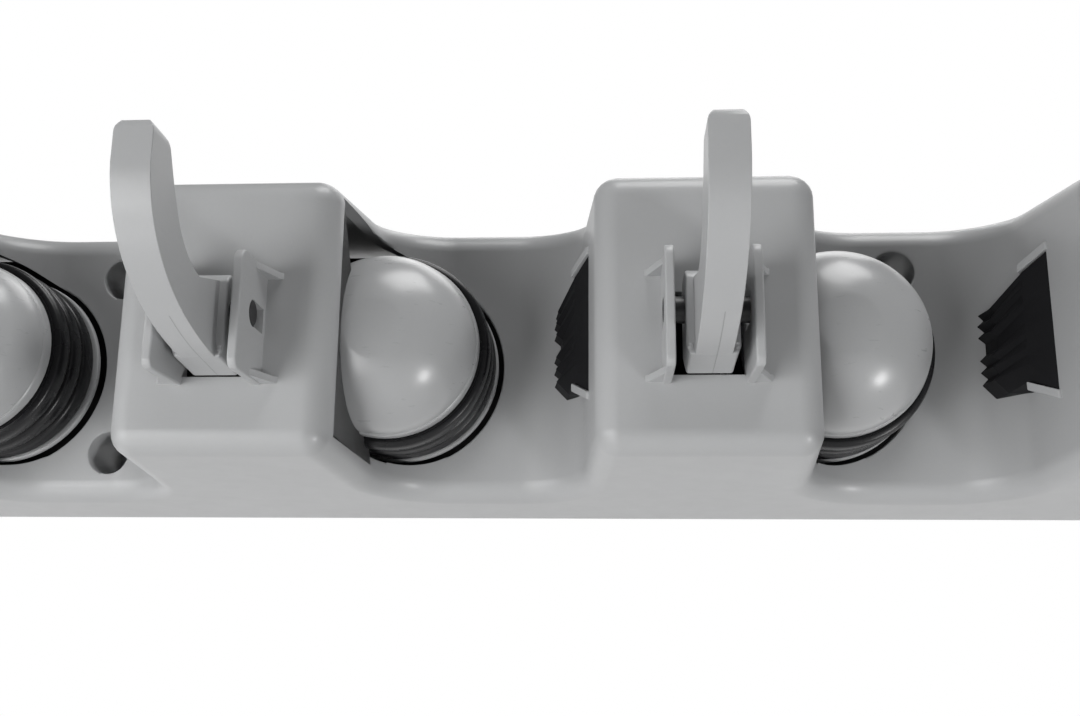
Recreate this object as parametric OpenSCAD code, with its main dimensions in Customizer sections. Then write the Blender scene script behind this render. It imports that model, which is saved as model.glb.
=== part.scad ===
// Wall rack for brooms, mops and other long-handled tools.
// X runs along the rack and Z is up. The wall is the plane y = 0 and the rack's front looks to -Y.
// The origin is the middle of the back. Depths named "q" are measured back from the blocks' front.

/* [Shell] */
// Number of handle slots; there is one more block than slots
slots = 5; // [1:1:6]
// Distance from one block to the next
pitch = 75; // [72:1:90]
// Distance from the wall to the front of a block
depth = 54; // [52:0.5:60]
// Height of the shell at the wall
height = 53.6; // [52:0.2:64]
// Thickness of the shell's walls
wall = 2.2; // [1.6:0.1:2.6]
// Half the width of a block at its front
block_half = 17.3; // [16.5:0.1:18.5]
// Radius of the blocks' front edges
edge_r = 4; // [3:0.25:5]
// Draft of the blocks' sides, in degrees
side_draft = 5; // [2:0.1:5.5]
// Draft of the shell's top and bottom, in degrees
top_draft = 5; // [2:0.1:5.5]
// Distance from the wall to the valley floor
floor_y = 17.5; // [17:0.1:18.5]
// Radius of the curve between a block's side and the valley floor
valley_r = 12.5; // [8:0.5:13.5]

/* [Wheels] */
// Distance from a block's centre line to its wheel's axis, at rest
wheel_dx = 22.5; // [22:0.1:24]
// Height of the wheel's axis at rest
wheel_z = -1.2; // [-2.5:0.1:-0.5]
// How much smaller the domed cap's rim is than the tyre
cap_step = 1.6; // [1.2:0.1:2.7]
// Depth of the cap's flat front
cap_q = 5.6; // [5:0.1:8]
// Radius of the cap's flat front
cap_flat_r = 4.6; // [3:0.1:6]
// Width of the cap's straight rim
cap_rim = 2.6; // [1.5:0.1:3.5]
// Thickness of the cap
cap_wall = 1.8; // [1.2:0.1:2.2]
// Radius of the tyre over its ridges
tyre_r = 17.2; // [15.4:0.1:17.4]
// Thickness of the tyre over its ridges
tyre_t = 4.2; // [4:0.1:5.5]
// Depth of the grooves between the ridges
groove = 1.3; // [0.6:0.1:1.8]
// How far the rear flange stands out past the tyre
flange_over = 0.2; // [0.1:0.1:0.4]
// Thickness of the rear flange
flange_t = 1.7; // [1.2:0.1:2]
// Radius of the axle
axle_r = 3; // [2.5:0.1:3.4]
// Angle that the wheels' path climbs at, away from the handle
ramp_angle = 34; // [25:1:36]
// Length of the wheels' path
ramp_travel = 7; // [5:0.1:7.2]
// Gap between the moving wheel and its window
window_gap = 0.5; // [0.4:0.05:0.7]
// Extra radius of the window's rim round the resting wheel
window_rim = 0.3; // [0.1:0.05:0.5]

/* [Guide plates] */
// Thickness of the guide plates
guide_t = 3; // [2.4:0.1:3.5]
// Height of the guide plates' tongue
guide_tongue = 20; // [16:0.5:21]
// Gap between a guide plate's edge and the shell
guide_gap = 1; // [0.8:0.1:2]
// Distance from the wall to the guide plates
guide_y = 8.3; // [7.8:0.1:9]
// Radius of the guide screws' bosses
boss_r = 3.2; // [2.8:0.1:3.6]
// Radius of the guide screws
screw_r = 1.3; // [1:0.1:1.5]

/* [Hooks] */
// Distance between the cheeks' middle planes
cheek_gap = 12.5; // [12:0.1:14]
// Thickness of a cheek
cheek_t = 1.4; // [1:0.1:1.8]
// How far the cheeks stand out of the block
cheek_d = 12.5; // [11.5:0.1:14]
// Top of the cheeks
cheek_top = 6.3; // [5.5:0.1:7.5]
// Bottom of the cheeks
cheek_bottom = -11.8; // [-13:0.1:-11.7]
// Distance of the hook's pin in front of the block
pin_d = 6; // [5.6:0.1:6.2]
// Height of the hook's pin
pin_z = -2.1; // [-2.6:0.1:-1.6]
// Radius of the hook's pin
pin_r = 2; // [1.6:0.1:2.2]
// Width of the hook's root
root_w = 7.8; // [7:0.1:8.6]
// Top of the hook's root
root_top = 3.4; // [2.8:0.1:3.7]
// Front of the hook's root
root_d = 9.2; // [9:0.1:9.8]
// Width of the hook's arm
arm_w = 5.3; // [4.4:0.1:6]
// How far the hook reaches out of the block
reach = 37.3; // [34:0.1:40]
// Height of the hook's tip
tip_z = 15.2; // [13:0.1:17]

/* [Grip pads] */
// How far the pad's crest stands from the next block's centre line
crest_dx = 24.3; // [23.5:0.1:25]
// Distance from the wall to the pad's crest
crest_y = 26; // [25:0.5:29]
// Distance from the wall to the pad's front edge
pad_front_y = 43; // [41:0.5:43.5]
// Distance from the wall to the pad's back edge
pad_back_y = 21.5; // [21:0.5:23]
// Lowest point of the pad
pad_bottom = -7.5; // [-9:0.1:-6.5]
// Height of the pad
pad_h = 18.8; // [17:0.1:20]
// Depth of the pad's teeth
tooth_d = 1.2; // [0.6:0.1:1.6]
// Distance from one tooth to the next
tooth_pitch = 2.15; // [1.8:0.05:2.3]

/* [Screw wells] */
// Radius of a screw well's mouth
well_r = 3.9; // [3.5:0.1:4.1]
// Radius of the screw hole at the bottom of a well
hole_r = 2.3; // [1.8:0.1:2.6]
// Thickness of a well's bottom
well_floor = 2.5; // [2:0.1:4]
// Height of the wells above and below the middle
well_z = 16.7; // [15:0.1:17.5]
// Distance from its block to the pair of wells in the second slot
well_pair_dx = 42.8; // [41:0.1:43.5]
// Distance from its block to the single well in the last slot but one
well_single_dx = 37.1; // [36.8:0.1:40]

/* [Hidden] */
SLOT_PARTS = ["grip_pad", "guide_plate", "axle", "axle_clip", "wheel_hub", "tyre", "wheel_cap"];
BLOCK_PARTS = ["hook", "hook_pin"];
$fn = 64;
eps = 0.01;

plastic = [0.66, 0.67, 0.68];
black = [0.08, 0.08, 0.09];
steel = [0.75, 0.76, 0.78];

arc_steps = 6;
seat_gap = 0.05;
bore_gap = 0.08;
face_gap = 0.1;
play = 0.3;
slot_gap = 0.35;
flat_inset = 0.02;

// Depths of the valley floor and the pads behind the blocks' front
floor_q = depth - floor_y;
crest_q = depth - crest_y;
pad_front_q = depth - pad_front_y;
pad_back_q = depth - pad_back_y;

// Plan of a block's side: corner arc, drafted side, then the valley's arc
side_q = edge_r * (1 - sin(side_draft));
side_x = block_half - edge_r * (1 - cos(side_draft));
valley_cq = floor_q - valley_r;
valley_q = valley_cq + valley_r * sin(side_draft);
valley_cx = side_x + (valley_q - side_q) * tan(side_draft) + valley_r * cos(side_draft);

// Side view of the shell: half its height where the drafted top would meet the front
crown = height / 2 + edge_r * (1 - cos(top_draft))
    - (depth - edge_r * (1 - sin(top_draft))) * tan(top_draft);

// Wheel sizes that follow the tyre
cap_r = tyre_r - cap_step;
drum_r = tyre_r - tyre_t;
flange_r = tyre_r + flange_over;

// Depths of the wheel's pieces: the cap from the front, the hub from the wall, the tyre in between
cap_h = 14.7;
hub_tail = 3.7;
head_inset = 0.7;
head_t = 2;
head_r = axle_r + 2.5;
head_space = 0.5;
collar_r = axle_r + 3;
collar_t = 2;
guide_back_q = depth - guide_y;
guide_front_q = guide_back_q - guide_t;
collar_end_q = guide_front_q - play;
collar_q = collar_end_q - collar_t;
hub_end_q = collar_q - play;
flange_q = hub_end_q - hub_tail - flange_t;
rim_end_q = cap_q + cap_h;
tyre_q = rim_end_q + face_gap;
tyre_w = flange_q - face_gap - tyre_q;
head_q = tyre_q - head_inset;
clip_q = guide_back_q + play;
clip_t = 1.1;
clip_mouth = 4;
axle_end_q = clip_q + clip_t + 1;
groove_r = axle_r - 0.6;
spigot_r = cap_r - cap_wall - face_gap;
spigot_t = 2.6;

// Guide plates: places of the bosses from the block's centre line, outline (the first plate's left
// edge stands nearer, inside the rack's end) and screws
boss_dx = -9;
boss_z = 16;
far_boss_dx = 45;
far_boss_z = -1;
guide_left = -22;
guide_end_left = -17;
guide_corner = [13, 11];
guide_edge = 1.3;
screw_l = 7.5;
screw_space = 0.5;
far_screw_l = guide_front_q - floor_q - wall / 2 - screw_space;
screw_head_w = 1.3;
screw_head_t = 1.5;

// Cheeks: nose radii, the slot behind the pin, and the gussets' width, length and thickness
nose_top_r = 2;
nose_bottom_r = 1.5;
pin_slot_w = 3.9;
pin_slot_front = 1.1;
gusset = [2.6, 6.6, 1.1];
gusset_inset = 0.2;
face_slot_bottom = cheek_bottom + 1.3;
face_slot_top = pin_z + 4.6;

// Hooks: bottom of the root at its back and at its front
root_bottom = cheek_bottom + 1.3;
root_front_bottom = cheek_bottom + 2.3;

// Pads and wells
neck_inset = 1.5;
pad_flange_t = 1.5;
pad_flange_rim = 0.5;
lip_t = 1.2;
lip_l = 12;
lip_gap = 0.1;
well_wall = 1.7;
well_mouth_q = floor_q - 10;

// Placing along the row
function block_x(i) = (i - slots / 2) * pitch;
function mirrored(points) = [for (k = [len(points) - 1 : -1 : 0]) [-points[k].x, points[k].y]];
function moved(points, x) = [for (p = points) [p.x + x, p.y - depth]];

// An edge's arc, from the front face round to a drafted side, at an inset from the surface
function corner(half, draft, inset) =
    [for (k = [0 : arc_steps]) let (a = k / arc_steps * (90 - draft))
        [half - edge_r + (edge_r - inset) * sin(a), edge_r - (edge_r - inset) * cos(a)]];
function last(points) = points[len(points) - 1];
function drafted(half, draft, inset, q) =
    let (p = last(corner(half, draft, inset))) [p.x + (q - p.y) * tan(draft), q];

// Half of a block between valleys, and half of a block at the rack's end
function half_block(inset) = concat(corner(block_half, side_draft, inset),
    [for (k = [0 : arc_steps]) let (a = side_draft + k / arc_steps * (90 - side_draft))
        [valley_cx - (valley_r + inset) * cos(a), valley_cq + (valley_r + inset) * sin(a)]]);
function half_end(inset, q) = concat(corner(block_half, side_draft, inset),
    [drafted(block_half, side_draft, inset, q)]);

// The surface of a block's side, and of its inner wall, at a depth
function side_at(q) = lookup(q, [for (p = half_block(0)) [p.y, p.x]]);
function inner_at(q) = lookup(q, [for (p = half_block(wall)) [p.y, p.x]]);

// A cubic curve through its two end points
function curve(p, steps) = [for (k = [0 : steps]) let (t = k / steps, s = 1 - t)
    s * s * s * p[0] + 3 * s * s * t * p[1] + 3 * s * t * t * p[2] + t * t * t * p[3]];

// A round bar along Y, from one depth to another
module rod(r, q0, q1) {
    translate([0, q0 - depth, 0]) rotate([-90, 0, 0]) cylinder(r = r, h = q1 - q0);
}

// A turned piece about Y, from [radius, depth] points
module turned(points) {
    translate([0, -depth, 0]) rotate([-90, 0, 0]) rotate_extrude() polygon(points);
}

module wavy_block(inset, back_q) {
    plan = concat(
        moved(mirrored(half_end(inset, back_q)), block_x(0)),
        [for (i = [0 : slots - 1]) each concat(
            moved(half_block(inset), block_x(i)),
            moved(mirrored(half_block(inset)), block_x(i + 1)))],
        moved(half_end(inset, back_q), block_x(slots)));
    half_side = concat(corner(crown, top_draft, inset), [drafted(crown, top_draft, inset, back_q)]);
    side = moved(concat(mirrored(half_side), half_side), 0);
    intersection() {
        translate([0, 0, -height]) linear_extrude(2 * height) polygon(plan);
        rotate([90, 0, 90]) translate([0, 0, -slots * pitch]) linear_extrude(2 * slots * pitch)
            polygon([for (p = side) [p.y, p.x]]);
    }
}

// Where a slot's wheel stands, at rest and at the top of its ramp
module at_wheel(i) translate([block_x(i) + wheel_dx, 0, wheel_z]) children();
module at_ramp_top(i) at_wheel(i)
    translate([-ramp_travel * cos(ramp_angle), 0, ramp_travel * sin(ramp_angle)]) children();

// The space that a round bar sweeps along the ramp. The flats cross the round ends a little inside them.
module ramp_sweep(i, r, q0, q1) {
    flat = r - flat_inset;
    at_wheel(i) rod(r, q0, q1);
    at_ramp_top(i) rod(r, q0, q1);
    at_wheel(i) rotate([0, ramp_angle, 0]) translate([-ramp_travel, q0 - depth, -flat])
        cube([ramp_travel, q1 - q0, 2 * flat]);
}

module wheel_window(i) {
    window_q = cap_q - window_gap;
    clear_r = flange_r + window_gap;
    intersection() {
        union() {
            ramp_sweep(i, flange_r + slot_gap, window_q, guide_back_q);
            at_wheel(i) rod(clear_r + window_rim, window_q, guide_back_q);
        }
        translate([block_x(i) + block_half - wall - 1, -depth, -height / 2])
            cube([pitch / 2, depth, height]);
    }
}

// The pad's outline at its window, and its wedge outside the window
function pad_base(gap) = [for (k = [0 : arc_steps])
    let (q = pad_front_q + (pad_back_q - pad_front_q) * k / arc_steps) [-side_at(q) - gap, q]];

module pad_neck(i, gap) {
    front = pad_front_q + neck_inset - gap;
    back = pad_back_q - neck_inset + gap;
    inner = wall + 2;
    translate([0, 0, pad_bottom + neck_inset - gap]) linear_extrude(pad_h + 2 * (gap - neck_inset))
        polygon(moved([[-side_at(front) - eps, front], [-side_at(back) - 1, back],
            [-side_at(back) + inner, back], [-side_at(front) + inner, front]], block_x(i)));
}

module cheek(i, side) {
    x = block_x(i) + side * cheek_gap / 2;
    difference() {
        translate([x - cheek_t / 2, -depth - cheek_d, cheek_bottom])
            cube([cheek_t, cheek_d + wall, cheek_top - cheek_bottom]);
        cheek_nose(x, cheek_top, nose_top_r, 1);
        cheek_nose(x, cheek_bottom, nose_bottom_r, -1);
        translate([x - cheek_t, -depth - pin_d, pin_z]) rotate([0, 90, 0])
            cylinder(r = pin_r + seat_gap, h = 2 * cheek_t);
        translate([x - cheek_t, -depth - pin_d, pin_z - pin_slot_w / 2])
            cube([2 * cheek_t, pin_d - pin_slot_front, pin_slot_w]);
    }
    for (z = [cheek_top - gusset_inset - gusset.z, cheek_bottom + gusset_inset])
        translate([x, -depth, z]) linear_extrude(gusset.z)
            polygon([for (p = [[0, wall / 2], [cheek_t / 2 + gusset.x, wall / 2],
                [cheek_t / 2 + gusset.x, 0], [cheek_t / 2, -gusset.y], [0, -gusset.y]])
                    [side * p.x, p.y]]);
}

// Rounds one front corner of a cheek
module cheek_nose(x, z, r, up) {
    translate([x, -depth - cheek_d, z]) difference() {
        translate([-cheek_t, -1, up > 0 ? -r : -1]) cube([2 * cheek_t, r + 1, r + 1]);
        translate([-cheek_t - 1, r, -up * r]) rotate([0, 90, 0]) cylinder(r = r, h = 2 * cheek_t + 2);
    }
}

// The screw wells: block number, distance from the block, height
function wells() = [
    for (w = [[1, well_pair_dx, 1], [1, well_pair_dx, -1], [slots - 2, well_single_dx, 1]])
        if (slots > 2) [block_x(w[0]) + w[1], w[2] * well_z]];

module rack_shell() color(plastic) {
    difference() {
        union() {
            difference() {
                wavy_block(0, depth);
                wavy_block(wall, depth + 1);
            }
            for (i = [0 : slots], side = [-1, 1]) cheek(i, side);
            for (w = wells()) translate([w.x, 0, w.y]) rod(well_r + well_wall, floor_q + wall / 2, depth);
            for (i = [0 : slots - 1]) guide_bosses(i);
            for (i = [1 : slots]) pad_lips(i);
        }
        for (i = [0 : slots])
            translate([block_x(i) - cheek_gap / 2 + cheek_t / 2, -depth - 1, face_slot_bottom])
                cube([cheek_gap - cheek_t, wall + 2, face_slot_top - face_slot_bottom]);
        for (i = [0 : slots - 1]) wheel_window(i);
        for (i = [1 : slots]) pad_neck(i, seat_gap);
        for (w = wells()) translate([w.x, 0, w.y]) {
            rod(well_r, well_mouth_q, depth - well_floor);
            rod(hole_r, well_mouth_q, depth + 1);
        }
        for (i = [0 : slots - 1])
            guide_shanks(i, screw_r + seat_gap, screw_space, guide_front_q + 1);
    }
}

// Posts in the block and a short boss behind the valley, which the guide plate is screwed to
module guide_bosses(i) {
    for (z = [-boss_z, boss_z]) translate([block_x(i) + boss_dx, 0, z])
        rod(boss_r, wall / 2, guide_front_q);
    translate([block_x(i) + far_boss_dx, 0, far_boss_z]) rod(boss_r, floor_q + wall / 2, guide_front_q);
}

module at_guide_screws(i) {
    for (z = [-boss_z, boss_z]) translate([block_x(i) + boss_dx, 0, z]) children();
    translate([block_x(i) + far_boss_dx, 0, far_boss_z]) children();
}

// The shanks of a plate's screws, or their holes: two in the posts and a short one in the valley's boss
module guide_shanks(i, r, space, end) {
    for (z = [-boss_z, boss_z]) translate([block_x(i) + boss_dx, 0, z])
        rod(r, guide_front_q - screw_l - space, end);
    translate([block_x(i) + far_boss_dx, 0, far_boss_z])
        rod(r, guide_front_q - far_screw_l - space, end);
}

// The two small lips that frame a pad, above and below it
module pad_lips(i) {
    q0 = pad_front_q - 0.5;
    q1 = q0 + lip_l;
    for (z = [pad_bottom - lip_t - lip_gap, pad_bottom + pad_h + lip_gap])
        translate([0, 0, z]) linear_extrude(lip_t)
            polygon(moved([[-side_at(q0) + 1, q0], [-side_at(q0) - 0.5, q0],
                [-side_at(q1) - 1.8, q1 - 1], [-side_at(q1) + 1, q1]], block_x(i)));
}

module grip_pad(i) color(black) {
    base = pad_base(seat_gap);
    tooth_z = pad_bottom + pad_h / 2 + tooth_pitch / 2;
    difference() {
        translate([0, 0, pad_bottom]) linear_extrude(pad_h)
            polygon(moved(concat([[-crest_dx, crest_q]], reversed(base)), block_x(i)));
        for (k = [-3 : 3]) if (k != 0) pad_notch(i, tooth_z + k * tooth_pitch);
    }
    pad_neck(i, 0);
    front = pad_front_q - pad_flange_rim;
    back = pad_back_q - 4;
    clear = seat_gap + play;
    translate([0, 0, pad_bottom - pad_flange_rim]) linear_extrude(pad_h + 2 * pad_flange_rim)
        polygon(moved([for (p = [[front, clear], [valley_q, clear], [back, clear],
            [back, clear + pad_flange_t], [front, clear + pad_flange_t]])
                [-inner_at(p[0]) + p[1], p[0]]], block_x(i)));
}

function reversed(points) = [for (k = [len(points) - 1 : -1 : 0]) points[k]];

// A V cut across the pad's crest, between two teeth
module pad_notch(i, z) {
    translate([block_x(i) - crest_dx, 0, z]) rotate([90, 0, 0]) translate([0, 0, depth - pad_back_q])
        linear_extrude(pad_back_q - pad_front_q)
            polygon([[-1, -tooth_pitch], [-1, tooth_pitch], [tooth_d, 0]] * 0.5);
}

// A plate that covers the back of a wheel's window, with a tongue to the far boss and notches at wells
module guide_plate(i) color(black) {
    top = drafted(crown, top_draft, wall, guide_front_q).x - guide_gap;
    tongue = guide_tongue / 2;
    edge = wheel_dx + tyre_r + guide_edge;
    right = far_boss_dx + boss_r + guide_edge;
    left = i == 0 ? guide_end_left : guide_left;
    upper = [[right, tongue], [edge, tongue], [edge, top - guide_corner.y],
        [edge - guide_corner.x, top], [left, top]];
    q0 = guide_front_q - 1;
    q1 = guide_back_q + 1;
    difference() {
        translate([block_x(i), -guide_y, 0]) rotate([90, 0, 0]) linear_extrude(guide_t)
            polygon(concat([for (p = reversed(upper)) [p.x, -p.y]], upper));
        ramp_sweep(i, axle_r + slot_gap, q0, q1);
        at_guide_screws(i) rod(screw_r + 0.2, q0, q1);
        for (w = wells()) translate([w.x, 0, w.y]) rod(well_r + well_wall + play, q0, q1);
    }
}

module guide_screws() color(steel) for (i = [0 : slots - 1]) {
    guide_shanks(i, screw_r, 0, guide_back_q + eps);
    at_guide_screws(i) rod(screw_r + screw_head_w, guide_back_q, guide_back_q + screw_head_t);
}

module axle(i) color(steel) at_wheel(i) turned([[0, head_q], [head_r, head_q],
    [head_r, head_q + head_t], [axle_r, head_q + head_t], [axle_r, collar_q], [collar_r, collar_q],
    [collar_r, collar_end_q], [axle_r, collar_end_q], [axle_r, clip_q], [groove_r, clip_q],
    [groove_r, clip_q + clip_t], [axle_r, clip_q + clip_t], [axle_r, axle_end_q],
    [0, axle_end_q]]);

module axle_clip(i) color(steel) at_wheel(i) difference() {
    rod(collar_r, clip_q, clip_q + clip_t);
    rod(groove_r + seat_gap, clip_q - 1, clip_q + clip_t + 1);
    translate([-clip_mouth / 2, clip_q - 1 - depth, -collar_r - 1])
        cube([clip_mouth, clip_t + 2, collar_r + 1]);
}

module wheel_hub(i) color(plastic) at_wheel(i) turned([[axle_r + seat_gap, head_q + head_t + play],
    [head_r + head_space, head_q + head_t + play], [head_r + head_space, tyre_q - spigot_t],
    [spigot_r, tyre_q - spigot_t], [spigot_r, tyre_q], [drum_r, tyre_q], [drum_r, flange_q],
    [flange_r, flange_q], [flange_r, flange_q + flange_t], [collar_r, flange_q + flange_t],
    [collar_r, hub_end_q], [axle_r + seat_gap, hub_end_q]]);

module tyre(i) color(black) {
    land = tyre_w / 3;
    profile = [for (k = [0 : 2]) each [
        [tyre_r - groove, tyre_q + k * land], [tyre_r - 0.35, tyre_q + k * land + 0.5],
        [tyre_r, tyre_q + k * land + 1.3], [tyre_r, tyre_q + (k + 1) * land - 1.5],
        [tyre_r - 0.35, tyre_q + (k + 1) * land - 0.7], [tyre_r - groove, tyre_q + (k + 1) * land - 0.2]]];
    at_wheel(i) turned(concat([[drum_r + seat_gap, tyre_q]], profile,
        [[tyre_r - groove, tyre_q + tyre_w], [drum_r + seat_gap, tyre_q + tyre_w]]));
}

module wheel_cap(i) color(plastic) {
    dome_q = rim_end_q - cap_rim;
    start = asin(cap_flat_r / cap_r);
    outer = [for (k = [0 : 8]) let (a = start + (90 - start) * k / 8)
        [cap_r * sin(a), dome_q - (dome_q - cap_q) * cos(a) / cos(start)]];
    inner_r = cap_r - cap_wall;
    inner = [for (k = [8 : -1 : 1]) let (a = 90 * k / 8)
        [inner_r * sin(a), dome_q - (dome_q - cap_q - cap_wall) * cos(a)]];
    at_wheel(i) turned(concat([[0, cap_q]], outer, [[cap_r, rim_end_q], [inner_r, rim_end_q]], inner,
        [[0, cap_q + cap_wall]]));
}

module hook(i) color(plastic) {
    arm_under = curve([[root_d, root_front_bottom], [0.6 * reach, root_front_bottom + 1.6],
        [reach - 1.6, root_front_bottom + 6.3], [reach, tip_z - 6.2]], 12);
    arm_over = curve([[reach - 5.5, tip_z - 0.9], [0.75 * reach, 0.46 * tip_z],
        [0.7 * reach, 0.1 * tip_z], [0.47 * reach, 0]], 10);
    arm = concat([[root_d - 1, root_front_bottom + 1]], arm_under, [[reach, tip_z - 1.2],
        [reach - 0.4, tip_z - 0.3], [reach - 1.4, tip_z]], arm_over, [[root_d - 2.4, root_top - 0.6]]);
    root = [[0.6, root_bottom], [root_d, root_front_bottom], [root_d, root_top - 1.6],
        [root_d - 1.6, root_top], [2.2, root_top], [0.9, root_top - 1.2], [0.6, root_top - 2.4]];
    difference() {
        union() {
            hook_slice(i, root, root_w);
            hook_slice(i, arm, arm_w);
        }
        translate([block_x(i) - root_w, -depth - pin_d, pin_z]) rotate([0, 90, 0])
            cylinder(r = pin_r + bore_gap, h = 2 * root_w);
    }
}

// A flat slice of a hook, from [reach, height] points, centred on its block
module hook_slice(i, points, width) {
    translate([block_x(i) - width / 2, -depth, 0]) rotate([90, 0, 90])
        linear_extrude(width) polygon([for (p = points) [-p.x, p.y]]);
}

module hook_pin(i) color(plastic) {
    pin_l = cheek_gap + cheek_t + 0.1;
    translate([block_x(i) - pin_l / 2, -depth - pin_d, pin_z]) rotate([0, 90, 0])
        cylinder(r = pin_r, h = pin_l);
}

rack_shell();
guide_screws();
for (i = [1 : slots]) {
    grip_pad(i);
    guide_plate(i - 1);
    axle(i - 1);
    axle_clip(i - 1);
    wheel_hub(i - 1);
    tyre(i - 1);
    wheel_cap(i - 1);
}
for (i = [1 : slots + 1]) {
    hook(i - 1);
    hook_pin(i - 1);
}
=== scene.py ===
"""Tool holder rack: the visible pieces, finishes, stage and camera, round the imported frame."""
import bpy
import bmesh
import math
from bpy.props import FloatProperty, FloatVectorProperty, PointerProperty
from mathutils import Matrix, Vector


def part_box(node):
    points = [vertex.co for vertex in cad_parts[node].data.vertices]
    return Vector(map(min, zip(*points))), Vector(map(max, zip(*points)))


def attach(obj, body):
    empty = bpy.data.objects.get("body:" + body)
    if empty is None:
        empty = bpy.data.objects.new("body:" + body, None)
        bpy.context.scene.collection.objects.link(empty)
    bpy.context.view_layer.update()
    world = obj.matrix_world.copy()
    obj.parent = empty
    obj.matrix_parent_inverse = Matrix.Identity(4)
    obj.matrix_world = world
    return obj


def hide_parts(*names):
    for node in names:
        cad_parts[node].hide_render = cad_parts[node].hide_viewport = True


bl_info = {
    "name": "Tool Holder Rack",
    "version": (1, 0, 0),
    "blender": (4, 5, 0),
    "location": "View3D > Sidebar > Rack",
    "description": "Models a wall rack with gripping wheels and fold-up hooks, piece by piece",
    "category": "Add Mesh",
}

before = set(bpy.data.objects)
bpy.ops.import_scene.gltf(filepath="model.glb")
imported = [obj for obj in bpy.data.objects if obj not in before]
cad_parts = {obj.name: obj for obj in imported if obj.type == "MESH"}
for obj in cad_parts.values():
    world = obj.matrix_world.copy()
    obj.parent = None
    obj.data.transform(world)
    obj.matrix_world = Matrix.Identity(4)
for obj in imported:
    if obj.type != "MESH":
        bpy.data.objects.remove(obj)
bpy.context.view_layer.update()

MM = 0.001
TINY = 1e-6
RACK = "rack"


def middle(node):
    """The middle of a CAD node, which gives a new piece its place."""
    low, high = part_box(node)
    return (Vector(low) + Vector(high)) / 2


BLOCK_X = sorted(middle(name).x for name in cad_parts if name.startswith("hook_pin_"))
SLOTS = len(BLOCK_X) - 1
PITCH = BLOCK_X[1] - BLOCK_X[0]
WHEEL = middle("wheel_cap_1")
HOOK_PIN = middle("hook_pin_1")


# Sizes and colours that a user would change

def length(name, description, default):
    return FloatProperty(name=name, description=description, default=default * MM, unit="LENGTH", precision=5)


def degrees(name, description, default):
    return FloatProperty(name=name, description=description, default=math.radians(default), subtype="ANGLE")


def colour(name, description, default):
    return FloatVectorProperty(
        name=name, description=description, default=default, subtype="COLOR", min=0, max=1)


class ShellSizes(bpy.types.PropertyGroup):
    depth: length("Depth", "From the wall to the front of a block", 54)
    height: length("Height", "Height of the shell at the wall", 53.6)
    wall: length("Wall", "Thickness of the shell's walls", 2.2)
    block_half: length("Block half width", "Half the width of a block at its front", 17.3)
    edge: length("Edge radius", "Radius of the blocks' rounded edges", 4)
    side_draft: degrees("Side draft", "How far the blocks' sides lean outwards towards the wall", 5)
    top_draft: degrees("Top draft", "How far the top and bottom spread towards the wall", 5)
    floor: length("Valley depth", "From the blocks' front to the valley floor", 36.5)
    valley: length("Valley radius", "Radius between a block's side and the valley floor", 12.5)
    well: length("Well radius", "Radius of a screw well", 3.9)
    well_z: length("Well height", "Height of the wells above and below the middle", 16.7)
    hole: length("Screw hole radius", "Radius of the hole at the bottom of a well", 2.3)


class WheelSizes(bpy.types.PropertyGroup):
    cap: length("Cap radius", "Radius of the domed cap's rim", 15.6)
    cap_flat: length("Cap flat radius", "Radius of the cap's flat front", 4.6)
    cap_rim: length("Cap rim", "Width of the cap's straight rim", 2.6)
    tyre: length("Tyre radius", "Radius of the tyre over its ridges", 17.2)
    groove: length("Groove", "Depth of the grooves between the ridges", 1.3)
    flange: length("Flange radius", "Radius of the rear flange", 17.4)
    climb: length("Climb", "Length of the wheels' path up the ramp", 7)
    ramp: degrees("Ramp", "Angle that the wheels' path climbs at", 34)
    window: length("Window radius", "Radius of the window round the resting wheel", 18.2)


class HookSizes(bpy.types.PropertyGroup):
    reach: length("Reach", "How far the hook reaches out of the block", 37.3)
    tip: length("Tip height", "Height of the hook's tip", 15.2)
    arm: length("Arm width", "Width of the hook's arm", 5.3)
    root: length("Root width", "Width of the hook's root", 7.8)
    cheek_gap: length("Cheek gap", "Distance between the cheeks' middle planes", 12.5)
    cheek: length("Cheek thickness", "Thickness of a cheek", 1.4)
    cheek_reach: length("Cheek reach", "How far the cheeks stand out of the block", 12.5)
    cheek_top: length("Cheek top", "Top of the cheeks", 6.3)
    cheek_bottom: length("Cheek bottom", "Bottom of the cheeks", -11.8)


class PadSizes(bpy.types.PropertyGroup):
    crest: length("Crest distance", "From the next block's middle to the pad's crest", 24.3)
    crest_q: length("Crest depth", "Depth of the crest behind the blocks' front", 28)
    front_q: length("Front depth", "Depth of the pad's front edge", 15)
    back_q: length("Back depth", "Depth of the pad's back edge", 32.5)
    bottom: length("Front bottom", "Lowest point of the front edge", -9.8)
    top: length("Front top", "Highest point of the front edge", 13.5)
    tooth: length("Tooth depth", "Depth of the teeth", 1.2)


class Colours(bpy.types.PropertyGroup):
    plastic: colour("Plastic", "Light grey of the shell, hooks and caps", (0.40, 0.405, 0.41))
    tyre: colour("Tyre", "Black of the tyres", (0.009, 0.009, 0.010))
    pad: colour("Pad", "Black of the grip pads", (0.006, 0.006, 0.007))
    # The black of the guide plates and pins is partly their own colour and partly painted shade: it stands in
    # for the deep shade in the gaps round the wheels and beside the hooks' roots.
    guide: colour("Guide plate", "Black of the pins and the plates behind the shell", (0.020, 0.020, 0.021))
    steel: colour("Steel", "Grey of the axles, clips and screws", (0.58, 0.58, 0.57))
    backdrop: colour("Backdrop", "Colour of the floor and the backdrop", (1.0, 1.0, 1.0))


# Modelling by hand, with the operators of edit mode

def leave_all():
    """Leave edit mode and deselect everything, so that the next primitive stands alone."""
    if bpy.context.object and bpy.context.object.mode != "OBJECT":
        bpy.ops.object.mode_set(mode="OBJECT")
    bpy.ops.object.select_all(action="DESELECT")


def take(piece):
    """Make a piece the only selected one."""
    leave_all()
    piece.select_set(True)
    bpy.context.view_layer.objects.active = piece
    return piece


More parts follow.
